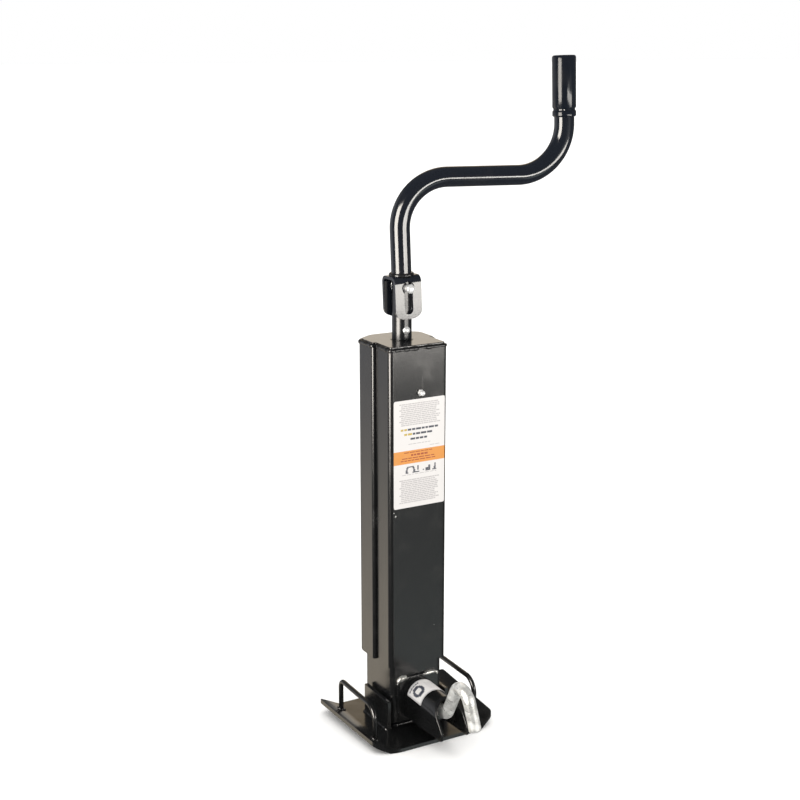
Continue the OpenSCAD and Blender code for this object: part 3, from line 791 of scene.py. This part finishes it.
def room_light():
    """White for the camera, soft white light, and a dim room with bright panels in reflections."""
    world = bpy.data.worlds.new("studio")
    bpy.context.scene.world = world
    world.use_nodes = True
    tree = world.node_tree
    tree.nodes.clear()
    out = tree.nodes.new("ShaderNodeOutputWorld")
    rays = tree.nodes.new("ShaderNodeLightPath")
    white = background(tree, (1, 1, 1), 1.0)
    soft = background(tree, (1, 0.995, 0.985), 1.2)
    room = background(tree, (0, 0, 0), 1.0)
    seen = tree.nodes.new("ShaderNodeMixShader")
    choose = tree.nodes.new("ShaderNodeMixShader")
    tree.links.new(rays.outputs["Is Camera Ray"], seen.inputs[0])
    tree.links.new(soft.outputs[0], seen.inputs[1])
    tree.links.new(white.outputs[0], seen.inputs[2])
    tree.links.new(rays.outputs["Is Glossy Ray"], choose.inputs[0])
    tree.links.new(seen.outputs[0], choose.inputs[1])
    tree.links.new(room.outputs[0], choose.inputs[2])
    tree.links.new(choose.outputs[0], out.inputs[0])

    place = tree.nodes.new("ShaderNodeTexCoord")
    total = None
    # each panel's direction, the cosines at which it starts and peaks, and its radiance
    panels = [
        ((0, 0, 1), -1.0, 1.0, (0.12, 0.12, 0.12)),
        ((-0.45, 0.8, -0.6), 0.93, 1.0, (0.95, 0.78, 0.5)),
        ((-0.5, 0.86, -0.1), 0.75, 1.0, (0.5, 0.5, 0.53)),
        ((0.49, 0.87, 0.24), 0.96, 1.0, (1.1, 1.03, 0.93)),
        ((0.49, 0.87, 0.5), 0.93, 1.0, (0.5, 0.33, 0.12)),
        ((0.48, -0.86, -0.12), 0.955, 1.0, (0.4, 0.4, 0.4)),
        ((0.46, -0.84, -0.6), 0.965, 1.0, (0.7, 0.78, 0.76)),
        ((0.19, -0.93, -0.2), 0.995, 1.0, (6.0, 6.0, 5.8)),
    ]
    for direction, low, high, colour in panels:
        dot = tree.nodes.new("ShaderNodeVectorMath")
        dot.operation = "DOT_PRODUCT"
        dot.inputs[1].default_value = Vector(direction).normalized()
        tree.links.new(place.outputs["Generated"], dot.inputs[0])
        fade = tree.nodes.new("ShaderNodeMapRange")
        fade.interpolation_type = "SMOOTHSTEP"
        fade.inputs["From Min"].default_value = low - 1e-3
        fade.inputs["From Max"].default_value = high
        if low <= -1:
            fade.inputs["To Min"].default_value = 1.0
        tree.links.new(dot.outputs["Value"], fade.inputs["Value"])
        tint = tree.nodes.new("ShaderNodeVectorMath")
        tint.operation = "SCALE"
        tint.inputs[0].default_value = colour
        tree.links.new(fade.outputs["Result"], tint.inputs["Scale"])
        if total is None:
            total = tint.outputs[0]
            continue
        add = tree.nodes.new("ShaderNodeVectorMath")
        tree.links.new(total, add.inputs[0])
        tree.links.new(tint.outputs[0], add.inputs[1])
        total = add.outputs[0]
    tree.links.new(total, room.inputs["Color"])


# ---- crank ----


def crank():
    """Folding bracket, bent tube and the weld between them."""
    softened("crank_bracket", crank_black, "crank", 1.3, 4, slot="crank_paint")
    half_rise = THROW / 2 * math.tan(ARM_DIP)
    top = (GRIP_LOW + 68) * MM
    corners = [(0, 0, BRACKET_TOP), (0, 0, ARM_Z + half_rise)]
    corners += [(THROW, 0, ARM_Z - half_rise), (THROW, 0, top)]
    line = [arm_place @ p for p in rounded_path(corners, (CRANK_BEND, CRANK_BEND), 1.6 * MM)]
    tube = swept("crank_tube_skin", line, CRANK_R, crank_black, "crank", 64)
    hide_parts("crank_tube")
    circle = round_line(0, 0, CRANK_R + 0.6 * MM, 32, lambda x: BRACKET_TOP + 0.6 * MM)
    circle = [crank_place @ p for p in circle]
    bead = weld("crank_weld_bead", circle, 2.6 * MM, "crank", 3.6, 5, closed=True, nodes=("crank_weld",))


def grip():
    """Sleeve with a rolled groove and three punched dents, closed by a lid."""
    low, high = GRIP_LOW, GRIP_LOW + GRIP_LENGTH
    r = GRIP_R
    outside = [(r - 1.6, low), (r - 0.5, low + 0.4), (r, low + 1.4), (r, low + 6.2)]
    outside += [(r - 0.5, low + 7.2), (r - 1.3, low + 8), (r - 1.3, low + 10), (r - 0.5, low + 10.8)]
    outside += [(r, low + 11.8), (r, high - 2.4), (r - 0.5, high - 1), (r - 1.6, high)]
    inside = [(13.2, high), (13.0, high - 0.5), (13.0, low + 0.4)]
    sleeve = lathed("grip_sleeve", outside + inside, grip_place, grip_black, "grip", 72, 40, True)
    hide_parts("crank_grip")
    cap = [(0, high - 4.4), (12.9, high - 4.4), (12.9, high - 1.6), (12.2, high - 1.0)]
    cap += [(9, high - 0.8), (0, high - 0.7)]
    lid = lathed("grip_lid", cap, grip_place, crank_black, "grip", 64)
    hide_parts("grip_cap")
    button = [(0, 0), (1.9, 0), (1.9, 0.9), (1.5, 1.35), (0.8, 1.1), (0, 0.9)]
    for k, degrees in enumerate((-118, 2, 122)):
        angle = math.radians(degrees)
        out = Vector((math.cos(angle), math.sin(angle), 0))
        place = grip_place @ along(out, out * (r - 2.2) * MM + Vector((0, 0, (low + 9) * MM)))
        dent = lathed(f"grip_dent_{k}", button, place, crank_black, "grip", 24)


def shaft_and_pins():
    """Input shaft, its rivet, the fold pin with its snap heads and the thin ring on the cap plate."""
    low, high = shaft_low.z / MM, shaft_high.z / MM
    upright = Matrix.Identity(4)
    shaft = [(9.05, low), (12.5, low), (12.5, high - 1.2), (11.6, high), (9.05, high)]
    skin = lathed("input_shaft_skin", shaft, upright, shaft_black, "screw", 96, 32, True)
    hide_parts("input_shaft")
    head = [(0, -15.2), (1.9, -15.0), (3.5, -14.3), (4.6, -13.2), (5.0, -12.0), (5.0, -11.2), (2.4, -11.2)]
    cross = along((0, 1, 0), (0, 0, (rivet_low.z + rivet_high.z) / 2))
    rivet = lathed("rivet_skin", both_ends(head), cross, bright_zinc, "screw", 48, 60)
    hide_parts("shaft_rivet")
    end = -pivot_low.y / MM
    head = [(0, 0), (2.6, 0.3), (4.5, 1.2), (5.5, 2.6), (5.7, 4.0), (5.5, 5.4), (4.4, 6.2)]
    head += [(3.9, 6.8), (3.9, 7.9), (4.75, 8.6)]
    head = [(r, h - end) for r, h in head]
    cross = along((0, 1, 0), (0, 0, fold_point.z))
    pivot = lathed("fold_pin_skin", both_ends(head), cross, bright_zinc, "fold_pin", 56, 50)
    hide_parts("fold_pin")
    softened("shaft_washer", black, "housing", 0.25, 2, slot="black_paint")


# ---- ram, guard and lock pin ----


def handle_point(y, height):
    """A point of the handle, given in mm along the pin and up the leaning handle."""
    up = height * MM
    return Vector((-up * math.sin(HANDLE_LEAN), y * MM, pin_z + up * math.cos(HANDLE_LEAN)))


def ram():
    softened("ram_tube", black, "ram", 0.7, slot="black_paint")
    softened("pin_boss_plate", black, "ram", 0.7, slot="black_paint")
    softened("pin_guard", black, "ram", 0.7, slot="black_paint")
    softened("pin_guide", black, "ram", 0.4, slot="black_paint")
    y, z = ram_low.y - 0.4 * MM, boss_high.z + 0.4 * MM
    ends = [Vector((boss_low.x + 2 * MM, y, z)), Vector((boss_high.x - 2 * MM, y, z))]
    weld("boss_weld_bead", ends, 3.1 * MM, "ram", 3.8, 31, nodes=("boss_weld",), uneven=0.3)
    # the bead's two ends in the pale metal, painted glints
    blob = [(24, 0.2), (14, 0.8), (3, 0.6), (1, -2)]
    line = [Vector((boss_high.x - dx * MM, y - 0.9 * MM, z + dz * MM)) for dx, dz in blob]
    weld("boss_weld_end", line, 2.4 * MM, "ram", 4.2, 34, bright=True, uneven=0.4)
    blob = [(-2, -3.5), (1, -1), (5, 1.2), (11, 1.6)]
    line = [Vector((boss_low.x + dx * MM, y - 0.8 * MM, z + dz * MM)) for dx, dz in blob]
    weld("boss_weld_start", line, 3.2 * MM, "ram", 4.2, 33, bright=True, uneven=0.35)
    for (side, label), edge in zip(SIDES, (boss_low.x, boss_high.x)):
        x = edge + side * 0.4 * MM
        ends = [Vector((x, y + 0.4 * MM, end)) for end in (z - 4 * MM, boss_low.z + 4 * MM)]
        weld("boss_side_weld_" + label, ends, 2.3 * MM, "ram", 3.4, 35 + side)


def nicks():
    """Nicks in the paint, bare chips made pale as painted highlights, and spatter beside the welds."""
    front = shell_low.y - 0.05 * MM
    spots = [(-33.5, front, 299, 1.3), (-36, front, 304, 0.8), (24, front, 140, 0.6)]
    for k, (x, y, z, size) in enumerate(spots):
        place = along((0, -1, 0), (x * MM, y, z * MM))
        chip = [(0, 0), (size, 0), (size * 0.8, 0.12), (0, 0.15)]
        flake = lathed(f"nick_{k}", chip, place, glint_metal, "housing", 7)
    draw = random.Random(9)
    for k in range(14):
        x, z = draw.uniform(-30, 34), draw.uniform(76, 84)
        place = along((0, -1, 0), (x * MM, ram_low.y, z * MM))
        size = draw.uniform(0.5, 1.1)
        drop = [(0, -0.2), (size, -0.2), (size * 0.8, size * 0.5), (0, size * 0.8)]
        bead = lathed(f"spatter_{k}", drop, place, weld_black, "ram", 10, 60)


def lock_pin():
    nose = ((ram_low.y / MM) + 4, 0)
    corners = [handle_point(*p) for p in (nose, ELBOW, CROOK, HANDLE_END)]
    line = rounded_path(corners, (HANDLE_BEND, HANDLE_BEND), 1.2 * MM, 6 * MM)
    rod = swept("lock_pin_rod", line, PIN_R, galvanised, "lock_pin", 56, smooth=60, ends=1.6 * MM)
    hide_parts("lock_pin")
    softened("pin_collar", galvanised, "lock_pin", 0.4, slot="galvanised")


def spring():
    """Compression spring of even pitch between the guide and the pin collar, its wire ends rounded."""
    wire, radius = 1.3, 11.4
    first, last = guide_high.y / MM + wire + 0.1, collar_low.y / MM - wire - 0.1
    turns = 7.5
    steps = int(turns * 28)
    line = []
    for i in range(steps + 1):
        angle = 2 * math.pi * turns * i / steps
        y = first + (last - first) * i / steps
        line.append(Vector((radius * MM * math.cos(angle), y * MM, pin_z + radius * MM * math.sin(angle))))
    coil = swept("pin_spring_coil", line, wire * MM, bare_steel, "ram", 12, smooth=70, ends=0.3 * MM)
    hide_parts("pin_spring")


# ---- drop leg and foot ----


def flange_z(x):
    """Height of the foot plate's upper face at x."""
    past = abs(x) - FOOT_FLAT
    return FOOT_T + past * math.tan(FLANGE_SLOPE) + 0.6 * MM if past > 0 else FOOT_T


def foot_loop(side, label):
    """A bent rod on the flange with a weld round each of its two ends."""
    low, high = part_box(label + "_foot_loop")
    x = (low.x + high.x) / 2
    y1, y2, top = low.y + LOOP_R, high.y - LOOP_R, high.z - LOOP_R
    base = flange_z(x) - 1 * MM
    line = rounded_path([(x, y1, base), (x, y1, top), (x, y2, top), (x, y2, base)], LOOP_BENDS, 1.2 * MM)
    rod = swept(label + "_loop_rod", line, LOOP_R, black, "drop_leg", 32, smooth=60, ends=0.2 * MM)
    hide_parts(label + "_foot_loop")
    for k, y in enumerate((y1, y2)):
        circle = round_line(x, y, LOOP_R + 1 * MM, 16, lambda px: flange_z(px) + 0.2 * MM)
        weld(f"{label}_loop_weld_{k}", circle, 1.9 * MM, "drop_leg", 3.2, 50 + 2 * k + side, closed=True)


def gusset_welds(side, label):
    """A tack on the gusset's front corner in the pale metal, a painted glint, and a bead along each side of its
    foot.
    """
    front_y, back_y = gusset_low.y + 1 * MM, gusset_high.y - 1 * MM
    front = Vector((side * (2.4 * MM - gusset_high.x), front_y, gusset_high.z - 2 * MM))
    tack = [front, front + Vector((0, 4, 0.5)) * MM, front + Vector((0, 9.5, 0)) * MM]
    weld(label + "_gusset_tack", tack, 2.2 * MM, "drop_leg", 3.8, 70 + side, bright=True)
    for k, x in enumerate((0.3 * MM - gusset_low.x, -gusset_high.x - 0.3 * MM)):
        ends = [Vector((side * x, y, FOOT_T + 0.3 * MM)) for y in (front_y, back_y)]
        weld(f"{label}_gusset_weld_{k}", ends, 2.4 * MM, "drop_leg", 3.6, 60 + 2 * k + side)


def foot():
    """Drop leg, foot plate and gussets, with the loops and the welds that hold them."""
    softened("drop_leg", black, "drop_leg", 0.5, slot="black_paint")
    softened("foot_plate", black, "drop_leg", 0.9, slot="black_paint")
    softened("left_gusset", black, "drop_leg", 0.6, slot="black_paint")
    softened("right_gusset", black, "drop_leg", 0.6, slot="black_paint")
    for side, label in SIDES:
        foot_loop(side, label)
        gusset_welds(side, label)
    low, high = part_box("leg_weld")
    inset = 2.2 * MM  # from the weld's outside to its middle
    left, right, front, back = low.x + inset, high.x - inset, low.y + inset, high.y - inset
    corners = [(left, front), (right, front), (right, back), (left, back)]
    line = eased([Vector((x, y, FOOT_T + 0.4 * MM)) for x, y in corners], 6 * MM)
    nodes = ("leg_weld",)
    weld("leg_weld_bead", line, 2.6 * MM, "drop_leg", 3.8, 80, closed=True, nodes=nodes, uneven=0.25)


camera_and_floor()
lamps()
room_light()
housing()
grease_fitting()
main_label()
guard_sticker()
crank()
grip()
shaft_and_pins()
ram()
nicks()
lock_pin()
spring()
foot()
